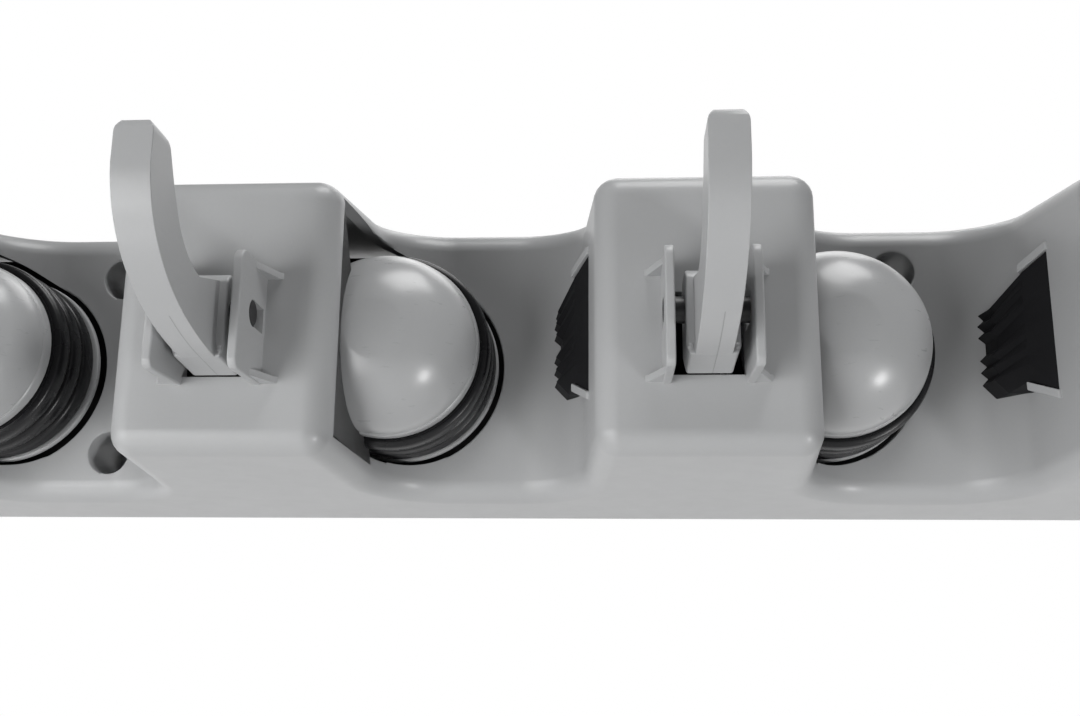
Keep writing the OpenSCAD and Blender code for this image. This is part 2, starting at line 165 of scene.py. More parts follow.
def open_mesh(kind="VERT"):
    """Put the new primitive's place in its mesh, and open it in edit mode."""
    bpy.ops.object.transform_apply(location=True, rotation=True, scale=True)
    bpy.ops.object.mode_set(mode="EDIT")
    bpy.ops.mesh.select_mode(type=kind)
    return bpy.context.object


def pick(kind, test):
    """In edit mode, select the verts, edges or faces that pass a test."""
    bpy.ops.mesh.select_mode(type={"verts": "VERT", "edges": "EDGE", "faces": "FACE"}[kind])
    bpy.ops.mesh.select_all(action="DESELECT")
    mesh = bmesh.from_edit_mesh(bpy.context.object.data)
    chosen = [part for part in getattr(mesh, kind) if test(part)]
    if not chosen:
        raise RuntimeError(f"no {kind} of {bpy.context.object.name} pass the test")
    for part in chosen:
        part.select_set(True)
    mesh.select_flush_mode()
    bmesh.update_edit_mesh(bpy.context.object.data)


def add_block(low, high):
    """A cube between two corners, open in edit mode."""
    leave_all()
    low, high = Vector(low), Vector(high)
    bpy.ops.mesh.primitive_cube_add(size=1, location=(low + high) / 2, scale=high - low)
    return open_mesh()


def add_rod(radius, start, end, sides=64):
    """A cylinder between two points, open in edit mode."""
    leave_all()
    start, end = Vector(start), Vector(end)
    turn = (end - start).to_track_quat("Z", "Y").to_euler()
    bpy.ops.mesh.primitive_cylinder_add(
        vertices=sides, radius=radius, depth=(end - start).length, location=(start + end) / 2, rotation=turn)
    return open_mesh()


def draw(points):
    """Draw an outline point by point, from one vertex, and leave its end selected."""
    leave_all()
    bpy.ops.mesh.primitive_plane_add(size=MM, location=points[0])
    piece = open_mesh()
    bpy.ops.mesh.select_all(action="SELECT")
    bpy.ops.mesh.merge(type="CENTER")
    for here, there in zip(points, points[1:]):
        bpy.ops.mesh.extrude_region_move(TRANSFORM_OT_translate={"value": Vector(there) - Vector(here)})
    return piece


def draw_face(points):
    """Draw a closed outline and fill it."""
    piece = draw(points)
    bpy.ops.mesh.select_all(action="SELECT")
    bpy.ops.mesh.edge_face_add()
    return piece


def pull(offset):
    """Extrude what is selected."""
    bpy.ops.mesh.extrude_region_move(TRANSFORM_OT_translate={"value": Vector(offset)})


def face_outwards():
    """Merge doubles and turn every face outwards."""
    bpy.ops.mesh.select_all(action="SELECT")
    bpy.ops.mesh.remove_doubles(threshold=TINY)
    bpy.ops.mesh.normals_make_consistent(inside=False)


def turn_profile(points, centre, steps=96):
    """Spin a closed profile of (radius, depth) points about the Y axis through a centre."""
    centre = Vector(centre)
    draw([centre + Vector((radius, depth, 0)) for radius, depth in list(points) + [points[0]]])
    bpy.ops.mesh.select_all(action="SELECT")
    bpy.ops.mesh.spin(steps=steps, angle=2 * math.pi, center=centre, axis=(0, 1, 0))
    face_outwards()
    return bpy.context.object


def round_edges(radius, test, steps=3):
    """Bevel the edges that pass a test."""
    pick("edges", test)
    bpy.ops.mesh.bevel(offset=radius, segments=steps, profile=0.5, affect="EDGES", clamp_overlap=True)


def apply_modifier(piece, kind, **settings):
    """Add one modifier and apply it."""
    take(piece)
    modifier = piece.modifiers.new(kind.title(), kind)
    for name, value in settings.items():
        setattr(modifier, name, value)
    bpy.ops.object.modifier_apply(modifier=modifier.name)


def soften(piece, radius, steps=2, angle=35):
    """Round every sharp edge of a piece a little."""
    apply_modifier(piece, "BEVEL", width=radius, segments=steps, limit_method="ANGLE",
                   angle_limit=math.radians(angle), use_clamp_overlap=True)


def cut(piece, cutter, operation="DIFFERENCE"):
    """Cut one piece with another, or join them, and drop the cutter."""
    leave_all()
    apply_modifier(piece, "BOOLEAN", object=cutter, operation=operation, solver="EXACT")
    bpy.data.objects.remove(cutter)


def join(pieces):
    """Join pieces into the first one."""
    leave_all()
    for piece in pieces:
        piece.select_set(True)
    bpy.context.view_layer.objects.active = pieces[0]
    bpy.ops.object.join()
    return pieces[0]


def smooth(piece, angle=32):
    """Smooth shading that keeps the sharp edges and leaves the flat faces flat."""
    take(piece)
    bpy.ops.object.shade_smooth_by_angle(angle=math.radians(angle))
    apply_modifier(piece, "WEIGHTED_NORMAL", keep_sharp=True, weight=60)


def settle(piece, name, finish, body, slot, *nodes):
    """Give a finished piece its name, finish and body, and hide the CAD nodes that it stands for. The slot is
    not used.
    """
    take(piece)
    bpy.ops.object.transform_apply(location=True, rotation=True, scale=True)
    piece.name = piece.data.name = name
    piece.data.materials.clear()
    piece.data.materials.append(finish)
    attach(piece, body)
    if nodes:
        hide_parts(*nodes)
    return piece


def along_row(piece, count):
    """The piece and its copies along the rack, each with its own mesh."""
    row = [piece]
    for place in range(1, count):
        take(piece)
        bpy.ops.object.duplicate(linked=False)
        bpy.ops.transform.translate(value=(place * PITCH, 0, 0))
        bpy.ops.object.transform_apply(location=True, rotation=False, scale=False)
        row.append(bpy.context.object)
    return row


# Shader maths and finishes

class Value:
    """A number in a finish's node tree, which is added and multiplied as in plain arithmetic."""

    def __init__(self, finish, socket):
        self.finish = finish
        self.socket = socket

    def maths(self, operation, *values):
        made = self.finish.node("ShaderNodeMath", {"operation": operation})
        for socket, value in zip(made.inputs, values):
            self.finish.feed(socket, value)
        return Value(self.finish, made.outputs[0])

    def __add__(self, other):
        return self.maths("ADD", self, other)

    def __radd__(self, other):
        return self.maths("ADD", other, self)

    def __sub__(self, other):
        return self.maths("SUBTRACT", self, other)

    def __rsub__(self, other):
        return self.maths("SUBTRACT", other, self)

    def __mul__(self, other):
        return self.maths("MULTIPLY", self, other)

    def __rmul__(self, other):
        return self.maths("MULTIPLY", other, self)

    def absolute(self):
        return self.maths("ABSOLUTE", self)

    def below(self, limit):
        return self.maths("LESS_THAN", self, limit)

    def wrapped(self, low, high):
        return self.maths("WRAP", self, high, low)


class Finish:
    """A node-based material that reads Object coordinates."""

    def __init__(self, name):
        self.material = bpy.data.materials.new(name)
        self.material.use_nodes = True
        self.tree = self.material.node_tree
        self.tree.nodes.clear()
        self.place = self.node("ShaderNodeTexCoord").outputs["Object"]

    def feed(self, socket, value):
        if isinstance(value, Value):
            value = value.socket
        if isinstance(value, bpy.types.NodeSocket):
            self.tree.links.new(value, socket)
        else:
            socket.default_value = value

    def node(self, kind, settings=(), sockets=()):
        """Any node: its type, its settings, then the values or links of its sockets."""
        made = self.tree.nodes.new(kind)
        for name, value in dict(settings).items():
            setattr(made, name, value)
        for name, value in dict(sockets).items():
            self.feed(made.inputs[name], value)
        return made

    def noise(self, size, detail=3.0, stretch=(1, 1, 1)):
        """Smooth noise whose spots are about that size, from 0 to 1."""
        place = self.node("ShaderNodeMapping", {}, {"Vector": self.place, "Scale": stretch}).outputs["Vector"]
        made = self.node("ShaderNodeTexNoise", {},
                         {"Vector": place, "Scale": 1 / size, "Detail": detail, "Roughness": 0.55})
        return Value(self, made.outputs["Fac"])

    def axes(self):
        """The three Object coordinates, in metres."""
        made = self.node("ShaderNodeSeparateXYZ", {}, {"Vector": self.place})
        return [Value(self, made.outputs[name]) for name in "XYZ"]

    def tint(self, base, other, amount):
        """A colour between two, by an amount."""
        made = self.node("ShaderNodeMix", {"data_type": "RGBA"})
        self.feed(made.inputs["Factor"], amount)
        self.feed(made.inputs["A"], base)
        self.feed(made.inputs["B"], other)
        return made.outputs["Result"]

    def bump(self, height, distance):
        made = self.node("ShaderNodeBump", {}, {"Height": height, "Distance": distance})
        return made.outputs["Normal"]

    def surface(self, sockets):
        """The shader itself. Numbers that are the same all over are set on its own sockets."""
        shader = self.node("ShaderNodeBsdfPrincipled", {}, sockets)
        self.node("ShaderNodeOutputMaterial", {}, {"Surface": shader.outputs["BSDF"]})
        return self.material


def shade(colour_value, factor):
    return (*[channel * factor for channel in colour_value], 1)


PARTING_OFFSET = 0.45 * MM
PARTING_WIDTH = 0.07 * MM
PARTING_TOP = -6.8 * MM


def moulded_plastic(name, base, roughness, grain, parting=None):
    """Moulded plastic: faint clouding, fine grain, and on the hooks' underside the mould's hair line."""
    finish = Finish(name)
    clouds = finish.noise(22 * MM, 4.0)
    specks = finish.noise(0.5 * MM, 2.0)
    scuffs = finish.noise(3.5 * MM, 6.0, (1, 1, 5))
    body = finish.tint(shade(base, 0.93), shade(base, 1.07), clouds * 0.75 + specks * 0.25)
    height = specks * 0.7 + finish.noise(1.8 * MM, 2.0) * 0.3
    if parting is not None:
        across = (finish.axes()[0] - (BLOCK_X[0] + parting)).wrapped(-PITCH / 2, PITCH / 2).absolute()
        line = across.below(PARTING_WIDTH) * finish.axes()[2].below(PARTING_TOP)
        body = finish.tint(body, shade(base, 0.72), line * 0.8)
        height = height - line * 2.5
    return finish.surface({
        "Base Color": body,
        "Roughness": scuffs * 0.16 + (roughness - 0.08),
        "Normal": finish.bump(height, grain),
        "IOR": 1.47,
        "Coat Roughness": 0.18,
        "Coat Weight": 0.12,
    })


def moulded_rubber(name, base, roughness, grain, dust, shine):
    """Black rubber: fine grain, cloudy gloss and a trace of dust."""
    finish = Finish(name)
    clouds = finish.noise(6 * MM, 5.0)
    specks = finish.noise(0.35 * MM, 3.0)
    body = finish.tint(shade(base, 1.0), shade(base, 2.4), (clouds * specks) * dust)
    return finish.surface({
        "Base Color": body,
        "Roughness": clouds * 0.22 + (roughness - 0.11),
        "Normal": finish.bump(specks * 0.6 + clouds * 0.4, grain),
        "IOR": shine,
    })


def plated_steel(name, base, roughness, streaks):
    """Zinc-plated steel: faint streaks and clouding."""
    finish = Finish(name)
    lines = finish.noise(0.6 * MM, 4.0, streaks)
    clouds = finish.noise(2.5 * MM, 4.0)
    body = finish.tint(shade(base, 0.82), shade(base, 1.12), clouds * 0.6 + lines * 0.4)
    return finish.surface({
        "Base Color": body,
        "Metallic": 1.0,
        "Roughness": lines * 0.2 + clouds * 0.1 + (roughness - 0.15),
        "Normal": finish.bump(lines, 0.01 * MM),
    })


FINISHES = {}


def finish(name):
    """One of the finishes, made when it is first asked for."""
    colours = bpy.context.scene.rack_colours
    makers = {
        "shell": lambda: moulded_plastic("shell_plastic", colours.plastic, 0.42, 0.012 * MM),
        "hook": lambda: moulded_plastic("hook_plastic", colours.plastic, 0.40, 0.012 * MM, PARTING_OFFSET),
        "cap": lambda: moulded_plastic("cap_plastic", colours.plastic, 0.30, 0.008 * MM),
        # Guide and pin finishes: black that is partly painted shade, standing in for the shade in the gaps
        # behind the windows and beside the hooks' roots.
        "guide": lambda: moulded_plastic("guide_plastic", colours.guide, 0.55, 0.02 * MM),
        "pin": lambda: moulded_plastic("pin_plastic", colours.guide, 0.45, 0.01 * MM),
        "tyre": lambda: moulded_rubber("tyre_rubber", colours.tyre, 0.28, 0.01 * MM, 0.3, 1.34),
        "pad": lambda: moulded_rubber("pad_rubber", colours.pad, 0.65, 0.03 * MM, 0.5, 1.30),
        "axle": lambda: plated_steel("axle_steel", colours.steel, 0.34, (1, 1, 12)),
        "clip": lambda: plated_steel("clip_steel", colours.steel, 0.40, (6, 1, 1)),
        "screw": lambda: plated_steel("screw_steel", colours.steel, 0.36, (1, 1, 1)),
    }
    if name not in FINISHES:
        FINISHES[name] = makers[name]()
    return FINISHES[name]


# The shell

VALLEY_STEPS = 14
CORNER_STEPS = 8
RIM_STEPS = 6
RIM_SHARE = 0.92
WINDOW_SPACE = 0.5 * MM
WINDOW_END = -8 * MM
WINDOW_SIDES = 128
CLIMBED_SHARE = 0.975
NECK_INSET = 1.5 * MM
NECK_BOTTOM = -6 * MM
NECK_TOP = 5.6 * MM
NECK_INSIDE = 4 * MM
WELL_PAIR_DX = 42.8 * MM
WELL_SINGLE_DX = 37.1 * MM
WELL_CUT_START = 30 * MM
WELL_CUT_END = -12 * MM
FACE_SLOT_BOTTOM = -10.5 * MM
FACE_SLOT_TOP = 2.5 * MM
FACE_SLOT_DEPTH = 4 * MM
RIM_ROUND = 0.4 * MM
RIM_HALF_HEIGHT = 21 * MM


def side_lines(sizes):
    """Half widths of a block, unrounded, at its front, at the valley floor and at the wall."""
    lean = math.tan(sizes.side_draft)
    front = (sizes.block_half - sizes.edge * (1 - math.cos(sizes.side_draft))
             - sizes.edge * (1 - math.sin(sizes.side_draft)) * lean)
    return front, front + sizes.floor * lean, front + sizes.depth * lean


def side_at(sizes, depth):
    """Half the width of a block at a depth behind its front, with the valley's rounding."""
    front, _, _ = side_lines(sizes)
    lean = math.tan(sizes.side_draft)
    turn = (math.pi / 2 - sizes.side_draft) / 2
    centre_depth = sizes.floor - sizes.valley
    tangent_depth = sizes.floor - sizes.valley * math.tan(turn) * math.cos(sizes.side_draft)
    if depth <= tangent_depth:
        return front + depth * lean
    centre = front + tangent_depth * lean + sizes.valley * math.cos(sizes.side_draft)
    return centre - math.sqrt(sizes.valley ** 2 - (depth - centre_depth) ** 2)


def upright(edge):
    a, b = (v.co for v in edge.verts)
    return abs(a.x - b.x) < TINY and abs(a.y - b.y) < TINY


def wavy_shell(sizes):
    """The wavy shell: a bar whose blocks are pulled forwards, with every edge rounded."""
    front, floor, back = side_lines(sizes)
    floor_y = sizes.floor - sizes.depth
    end = BLOCK_X[-1] + floor
    tall = sizes.height
    add_block((-end, floor_y, -tall), (end, 0, tall))
    pick("verts", lambda v: v.co.y > -TINY)
    bpy.ops.transform.resize(value=((BLOCK_X[-1] + back) / end, 1, 1), center_override=(0, 0, 0))
    for x in [x + side * floor for x in BLOCK_X for side in (-1, 1)][1:-1]:
        bpy.ops.mesh.select_all(action="SELECT")
        bpy.ops.mesh.bisect(plane_co=(x, 0, 0), plane_no=(1, 0, 0))
    pick("faces", lambda f: f.normal.y < -0.9
         and min(abs(f.calc_center_median().x - x) for x in BLOCK_X) < MM)
    pull((0, -sizes.floor, 0))
    for x in BLOCK_X:
        pick("verts", lambda v: v.co.y < -sizes.depth + TINY and abs(v.co.x - x) < PITCH / 2)
        bpy.ops.transform.resize(value=(front / floor, 1, 1), center_override=(x, 0, 0))
    turn = (math.pi / 2 - sizes.side_draft) / 2
    pick("edges", lambda e: upright(e) and abs(e.verts[0].co.y - floor_y) < TINY
         and abs(e.verts[0].co.x) < end - MM)
    bpy.ops.mesh.bevel(offset=sizes.valley * math.tan(turn), segments=VALLEY_STEPS, profile=0.5,
                       affect="EDGES")
    pick("edges", lambda e: upright(e) and e.verts[0].co.y < -sizes.depth + TINY)
    bpy.ops.mesh.bevel(offset=sizes.edge * math.tan(turn), segments=CORNER_STEPS, profile=0.5,
                       affect="EDGES")

    rise = math.tan(sizes.top_draft)
    for side in (1, -1):
        bpy.ops.mesh.select_all(action="SELECT")
        bpy.ops.mesh.bisect(plane_co=(0, 0, side * sizes.height / 2), plane_no=(0, -rise, side),
                            use_fill=True, clear_outer=True)

    def along_cap(edge):
        a, b = (v.co for v in edge.verts)
        return a.z * b.z > 0 and min(a.y, b.y) < -TINY

    pick("edges", along_cap)
    bpy.ops.mesh.bevel(offset=sizes.edge * RIM_SHARE, segments=RIM_STEPS, profile=0.5, affect="EDGES",
                       clamp_overlap=False)
    pick("faces", lambda f: f.normal.y > 0.99)
    bpy.ops.mesh.delete(type="FACE")
    shell = bpy.context.object
    apply_modifier(shell, "SOLIDIFY", thickness=sizes.wall, offset=-1, use_even_offset=True)
    bpy.ops.object.mode_set(mode="EDIT")
    pick("verts", lambda v: v.co.y > -0.5 * MM)
    bpy.ops.transform.resize(value=(1, 0, 1), center_override=(0, 0, 0))
    return shell


def window_cutter(slot, shell, wheel):
    """The space of a wheel's window: a round bar that is drawn out up the ramp."""
    axis = Vector((WHEEL.x + slot * PITCH, 0, WHEEL.z))
    uphill = Vector((-math.cos(wheel.ramp), 0, math.sin(wheel.ramp)))
    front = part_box("wheel_cap_1")[0][1] - WINDOW_SPACE
    cutter = add_rod(wheel.window, (axis.x, front, axis.z), (axis.x, WINDOW_END, axis.z), WINDOW_SIDES)
    pick("verts", lambda v: (v.co - axis).dot(uphill) > TINY)
    bpy.ops.transform.translate(value=uphill * wheel.climb)
    centre = axis + uphill * wheel.climb
    bpy.ops.transform.resize(value=(CLIMBED_SHARE, 1, CLIMBED_SHARE), center_override=(centre.x, 0, centre.z))
    bpy.ops.mesh.select_all(action="SELECT")
    bpy.ops.mesh.bisect(plane_co=(BLOCK_X[slot] + shell.block_half - shell.wall - MM, 0, 0),
                        plane_no=(-1, 0, 0), use_fill=True, clear_outer=True)
    return cutter


def pad_cutter(slot, shell, pad):
    """The window in a block's side that a grip pad sits in."""
    x = BLOCK_X[slot + 1]
    near, far = pad.front_q + NECK_INSET, pad.back_q - NECK_INSET
    cutter = draw_face([
        (x - side_at(shell, near) - MM, near - shell.depth, NECK_BOTTOM),
        (x - side_at(shell, far) - 2 * MM, far - shell.depth, NECK_BOTTOM),
        (x - side_at(shell, far) + NECK_INSIDE, far - shell.depth, NECK_BOTTOM),
        (x - side_at(shell, near) + NECK_INSIDE, near - shell.depth, NECK_BOTTOM)])
    pull((0, 0, NECK_TOP - NECK_BOTTOM))
    face_outwards()
    return cutter


def wells(sizes):
    """The screw wells' places: a pair in the second slot and one in the last slot but one."""
    pair = BLOCK_X[1] + WELL_PAIR_DX
    single = BLOCK_X[-3] + WELL_SINGLE_DX
    return [(pair, sizes.well_z), (pair, -sizes.well_z), (single, sizes.well_z)]


def soften_rims(shell, sizes):
    """Round the outer rims of the wheels' windows a little."""
    def outside(vert):
        """Whether a vert lies on the valley's floor or on a block's side."""
        depth = vert.co.y + sizes.depth
        near = min(abs(vert.co.x - x) for x in BLOCK_X)
        return abs(depth - sizes.floor) < 0.05 * MM or (
            depth < sizes.floor and abs(near - side_at(sizes, depth)) < 0.06 * MM)

    def rim(edge):
        """Whether an edge is a sharp one to the right of a block, round a window."""
        right = [v.co.x - x for v in edge.verts for x in BLOCK_X if 0 < v.co.x - x < PITCH * 0.56]
        return (len(right) > 1 and all(abs(v.co.z) < RIM_HALF_HEIGHT and outside(v) for v in edge.verts)
                and edge.calc_face_angle(0) > math.radians(30))

    take(shell)
    bpy.ops.object.mode_set(mode="EDIT")
    pick("edges", rim)
    bpy.ops.mesh.remove_doubles(threshold=0.04 * MM)
    pick("edges", rim)
    bpy.ops.mesh.bevel(offset=RIM_ROUND, segments=2, profile=0.5, affect="EDGES", clamp_overlap=False)


def build_shell(context):
    scene = context.scene
    sizes, hook = scene.rack_shell, scene.rack_hook
    shell = wavy_shell(sizes)
    inside = (hook.cheek_gap - hook.cheek) / 2
    cutters = [window_cutter(slot, sizes, scene.rack_wheel) for slot in range(SLOTS)]
    cutters += [pad_cutter(slot, sizes, scene.rack_pad) for slot in range(SLOTS)]
    for x in BLOCK_X:
        cutters.append(add_block((x - inside, -sizes.depth - MM, FACE_SLOT_BOTTOM),
                                 (x + inside, -sizes.depth + FACE_SLOT_DEPTH, FACE_SLOT_TOP)))
    for x, z in wells(sizes):
        cutters.append(add_rod(sizes.well, (x, -sizes.depth + WELL_CUT_START, z), (x, WELL_CUT_END, z)))
    cut(shell, join(cutters))
    soften_rims(shell, sizes)
    smooth(shell, 30)
    settle(shell, "rack_shell_skin", finish("shell"), RACK, "shell_plastic", "rack_shell")


WELL_WALL = 1.7 * MM
WELL_FLOOR = 2.5 * MM
BOSS_RADIUS = 3.2 * MM
BOSS_BORE = 1.35 * MM
BOSS_END = -11.35 * MM
# Each boss's name, its place from a block's middle, its height and where it leaves the shell
BOSSES = (("upper", -9 * MM, 16 * MM, -52 * MM), ("lower", -9 * MM, -16 * MM, -52 * MM),
          ("valley", 45 * MM, -1 * MM, -15.5 * MM))


def build_posts(context):
    """Screw wells and screw bosses behind the shell."""
    sizes = context.scene.rack_shell
    inner_floor = sizes.floor - sizes.depth + sizes.wall
    tube = sizes.well + WELL_WALL
    chamfer = 0.3 * MM
    for count, (x, z) in enumerate(wells(sizes), 1):
        bore = sizes.well + 0.05 * MM
        start = inner_floor - 0.3 * MM
        well = turn_profile([
            (bore, start), (tube + 0.8 * MM, start), (tube, start + 1.2 * MM), (tube, -chamfer),
            (tube - chamfer, 0), (sizes.hole, 0), (sizes.hole, chamfer - WELL_FLOOR),
            (sizes.hole + chamfer, -WELL_FLOOR), (bore, -WELL_FLOOR)], (x, 0, z), 48)
        smooth(well)
        settle(well, f"screw_well_{count}", finish("shell"), RACK, "shell_plastic")
    chamfer = 0.4 * MM
    for name, dx, z, start in BOSSES:
        post = turn_profile([
            (BOSS_BORE, start), (BOSS_RADIUS + 1.2 * MM, start),
            (BOSS_RADIUS + 0.4 * MM, start + 1.5 * MM), (BOSS_RADIUS, start + 3 * MM),
            (BOSS_RADIUS, BOSS_END - chamfer), (BOSS_RADIUS - chamfer, BOSS_END), (BOSS_BORE, BOSS_END)],
            (BLOCK_X[0] + dx, 0, z), 32)
        smooth(post)
        for count, copy in enumerate(along_row(post, SLOTS), 1):
            settle(copy, f"guide_boss_{name}_{count}", finish("shell"), RACK, "shell_plastic")


# Hooks and their cheeks

NOSE_TOP_RADIUS = 2 * MM
NOSE_BOTTOM_RADIUS = 1.5 * MM
PIN_SLOT_HALF = 1.95 * MM
PIN_SLOT_FRONT = 1.1 * MM
CHEEK_HOLE_RADIUS = 2.05 * MM
WEB_THICKNESS = 1.1 * MM
# A web's outline: how far out from the cheek's middle and how far before the block's face, in mm
WEB = ((0, -1), (3.3, -1), (3.3, 0), (2.9, 0.3), (0.7, 6.2), (0, 6.6))


def build_cheeks(context):
    """The cheeks that carry a hook's pin, with slots behind the pin and webs at their feet."""
    shell, hook = context.scene.rack_shell, context.scene.rack_hook
    face = -shell.depth
    front = face - hook.cheek_reach
    pin = HOOK_PIN
    parts = []
    for side in (-1, 1):
        x = BLOCK_X[0] + side * hook.cheek_gap / 2
        plate = add_block((x - hook.cheek / 2, front, hook.cheek_bottom),
                          (x + hook.cheek / 2, MM + face, hook.cheek_top))
        round_edges(NOSE_TOP_RADIUS, lambda e: all(v.co.y < front + TINY and v.co.z > 0 for v in e.verts), 6)
        round_edges(NOSE_BOTTOM_RADIUS, lambda e: all(
            v.co.y < front + TINY and v.co.z < hook.cheek_bottom + TINY for v in e.verts), 5)
        soften(plate, 0.3 * MM, 3)
        cut(plate, add_block((x - 3 * MM, pin.y, pin.z - PIN_SLOT_HALF),
                             (x + 3 * MM, face - PIN_SLOT_FRONT, pin.z + PIN_SLOT_HALF)))
        cut(plate, add_rod(CHEEK_HOLE_RADIUS, (x - 3 * MM, pin.y, pin.z), (x + 3 * MM, pin.y, pin.z), 48))
        parts.append(plate)
        for z in (hook.cheek_top - 1.3 * MM, hook.cheek_bottom + 0.2 * MM):
            web = draw_face([(x + side * aside * MM, face - ahead * MM, z) for aside, ahead in WEB])
            pull((0, 0, WEB_THICKNESS))
            face_outwards()
            soften(web, 0.18 * MM, 2)
            parts.append(web)
    pair = join(parts)
    smooth(pair)
    for count, copy in enumerate(along_row(pair, SLOTS + 1), 1):
        settle(copy, f"hook_cheeks_{count}", finish("shell"), RACK, "shell_plastic")


def bezier(start, pull_start, pull_end, end, steps):
    """Points of a cubic curve, both ends included."""
    points = []
    for step in range(steps + 1):
        t = step / steps
        s = 1 - t
        weights = (s ** 3, 3 * s * s * t, 3 * s * t * t, t ** 3)
        points.append(tuple(sum(w * p[k] for w, p in zip(weights, (start, pull_start, pull_end, end)))
                            for k in (0, 1)))
    return points


# The root's outline: how far out of the block's face, and how high, in mm
HOOK_ROOT = ((0.6, -10.5), (9.2, -9.5), (9.2, 1.8), (8.6, 2.8),
             (7.6, 3.4), (2.2, 3.4), (0.9, 2.2), (0.6, 1.0))
CREASE = -8.3 * MM
FOOT_SHARE = 0.88
TIP_CORNER = 2.3 * MM
NUB_RADIUS = 0.5 * MM
NUB_OUT = 9 * MM
HOOK_HOLE_RADIUS = 2.08 * MM


def build_hooks(context):
    """The fold-up hooks: a root block between the cheeks and a slim arm that sweeps out and up."""
    shell, hook = context.scene.rack_shell, context.scene.rack_hook
    reach, tip = hook.reach / MM, hook.tip / MM
    pin = HOOK_PIN

    def slab(points, width, x=BLOCK_X[0]):
        piece = draw_face([(x - width / 2, -shell.depth - out * MM, z * MM) for out, z in points])
        pull((width, 0, 0))
        face_outwards()
        return piece

    under = bezier((9.2, -9.5), (0.6 * reach, -7.9), (reach - 1.6, -3.2), (reach, tip - 6.2), 24)
    over = bezier((reach - 5.5, tip - 0.9), (28, 7), (26, 1.5), (17.5, 0.1), 16)
    arm = slab([(8.2, -8.6)] + under + [(reach, tip - 1.2), (reach - 0.4, tip - 0.3), (reach - 1.4, tip)]
               + over + [(6.8, 2.7)], hook.arm + 2 * MM)
    half = hook.arm / 2
    peak = hook.tip + 0.3 * MM
    arch = [(half - TIP_CORNER + TIP_CORNER * math.sin(a), peak - TIP_CORNER + TIP_CORNER * math.cos(a))
            for a in (math.pi / 2 * k / 8 for k in range(9))]
    front = -shell.depth - hook.reach - MM
    blank = draw_face([(BLOCK_X[0] + dx, front, z) for dx, z in
                       [(-dx, z) for dx, z in reversed(arch)] + arch + [(half, -20 * MM), (-half, -20 * MM)]])
    pull((0, hook.reach + 2 * MM, 0))
    face_outwards()
    cut(arm, blank, "INTERSECT")
    soften(arm, 0.75 * MM, 3, 50)
    root = slab(HOOK_ROOT, hook.root)
    bpy.ops.mesh.select_all(action="SELECT")
    bpy.ops.mesh.bisect(plane_co=(0, 0, CREASE), plane_no=(0, 0, 1))
    pick("verts", lambda v: v.co.z < -9 * MM)
    bpy.ops.transform.resize(value=(FOOT_SHARE, 1, 1), center_override=(BLOCK_X[0], 0, 0))
    soften(root, 0.35 * MM, 3)
    cut(root, arm, "UNION")
    for side in (-1, 1):
        nub = add_rod(NUB_RADIUS, (BLOCK_X[0] + side * 2.9 * MM, -shell.depth - NUB_OUT, CREASE),
                      (BLOCK_X[0] + side * 3.7 * MM, -shell.depth - NUB_OUT, CREASE), 16)
        soften(nub, 0.2 * MM, 2)
        cut(root, nub, "UNION")
    cut(root, add_rod(HOOK_HOLE_RADIUS, (BLOCK_X[0] - 9 * MM, pin.y, pin.z),
                      (BLOCK_X[0] + 9 * MM, pin.y, pin.z), 48))
    smooth(root)
    for count, copy in enumerate(along_row(root, SLOTS + 1), 1):
        settle(copy, f"hook_body_{count}", finish("hook"), f"hook_arm_{count}", "hook_plastic",
               f"hook_{count}")


def build_pins(context):
    """The hooks' pins, with softly rounded ends."""
    low, high = (Vector(corner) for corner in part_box("hook_pin_1"))
    radius = (high.z - low.z) / 2
    pin = add_rod(radius, (low.x, HOOK_PIN.y, HOOK_PIN.z), (high.x, HOOK_PIN.y, HOOK_PIN.z), 48)
    for end in (low.x, high.x):
        pick("faces", lambda f: all(abs(v.co.x - end) < TINY for v in f.verts))
        bpy.ops.mesh.bevel(offset=0.35 * MM, segments=3, affect="EDGES")
        pick("faces", lambda f: all(abs(v.co.x - end) < TINY for v in f.verts))
        bpy.ops.mesh.inset(thickness=0.5 * MM, depth=-0.15 * MM)
    smooth(pin)
    for count, copy in enumerate(along_row(pin, SLOTS + 1), 1):
        # The pins' black finish is partly painted shade, darkening the gap between the hook's root and the
        # cheeks.
        settle(copy, f"hook_pin_round_{count}", finish("pin"), RACK, "pin_plastic", f"hook_pin_{count}")


# Wheels

WHEEL_STEPS = 128
CAP_WALL = 1.8 * MM
DOME_STEPS = 24
HOLLOW_STEPS = 12
RIDGES = 3
RIDGE_STEPS = 8
RIDGE_HALF = 0.43
RIDGE_ROUNDING = 0.55
TYRE_BORE = 13.05 * MM
FLANGE_THICKNESS = 1.7 * MM
HUB_DRUM = 13 * MM
HUB_BORE = 3.05 * MM
HUB_SPIGOT = 13.7 * MM
HUB_POCKET = 6 * MM


